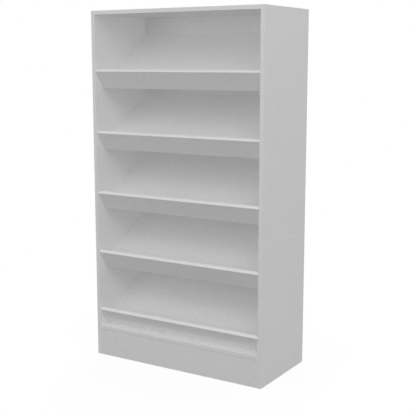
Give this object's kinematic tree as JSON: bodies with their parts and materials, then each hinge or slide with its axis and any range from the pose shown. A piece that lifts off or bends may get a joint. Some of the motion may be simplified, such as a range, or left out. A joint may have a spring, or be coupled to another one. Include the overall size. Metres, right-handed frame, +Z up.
{
  "type": "magazine display rack",
  "caption": "Tall open cabinet of white boards with sloping shelves, each closed at its low front end by a lip that holds magazines, on a plinth with hidden levelling feet.",
  "frame": {"origin": "middle of the rack's footprint, on the floor", "axes": "+Z up, +X towards the right-hand side seen from the front, -Y out of the open front"},
  "size_m": [1.1, 0.51, 2],
  "materials": {
    "melamine_board": "chipboard faced with satin white melamine, faint pearl grain",
    "back_board": "thinner board faced with satin white melamine",
    "edge_band": "satin white plastic band",
    "zinc": "die-cast zinc, dull",
    "zinc_plated_steel": "bright zinc plate",
    "beech": "fluted beech, untreated",
    "black_plastic": "moulded nylon"
  },
  "bodies": {
    "cabinet": {"side_left": "melamine_board", "side_right": "melamine_board", "top_board": "melamine_board", "base_board": "melamine_board", "plinth_front": "melamine_board", "plinth_rear": "melamine_board", "shelf_1": "melamine_board", "shelf_2": "melamine_board", "shelf_3": "melamine_board", "shelf_4": "melamine_board", "shelf_5": "melamine_board", "lip_1": "melamine_board", "lip_2": "melamine_board", "lip_3": "melamine_board", "lip_4": "melamine_board", "lip_5": "melamine_board", "back_panel": "back_board", "edge_bands_left_side": "edge_band", "edge_bands_right_side": "edge_band", "edge_bands_top_board": "edge_band", "edge_band_base_board": "edge_band", "edge_bands_lips": "edge_band", "cam_locks": "zinc", "cam_bolts": "zinc_plated_steel", "back_screws": "zinc_plated_steel", "socket_screws": "zinc_plated_steel", "foot_bushes": "zinc_plated_steel", "carcass_dowels": "beech", "shelf_dowels": "beech", "lip_dowels": "beech", "foot_sockets": "black_plastic"},
    "foot_front_left": {"foot_stem_front_left": "zinc_plated_steel", "foot_pad_front_left": "black_plastic"},
    "foot_front_right": {"foot_stem_front_right": "zinc_plated_steel", "foot_pad_front_right": "black_plastic"},
    "foot_rear_left": {"foot_stem_rear_left": "zinc_plated_steel", "foot_pad_rear_left": "black_plastic"},
    "foot_rear_right": {"foot_stem_rear_right": "zinc_plated_steel", "foot_pad_rear_right": "black_plastic"}
  },
  "joints": [
    {"name": "level_front_left", "type": "slide", "parent": "cabinet", "child": "foot_front_left", "axis": [0, 0, -1], "range_m": [0, 0.015]},
    {"name": "level_front_right", "type": "slide", "parent": "cabinet", "child": "foot_front_right", "axis": [0, 0, -1], "range_m": [0, 0.015]},
    {"name": "level_rear_left", "type": "slide", "parent": "cabinet", "child": "foot_rear_left", "axis": [0, 0, -1], "range_m": [0, 0.015]},
    {"name": "level_rear_right", "type": "slide", "parent": "cabinet", "child": "foot_rear_right", "axis": [0, 0, -1], "range_m": [0, 0.015]}
  ]
}
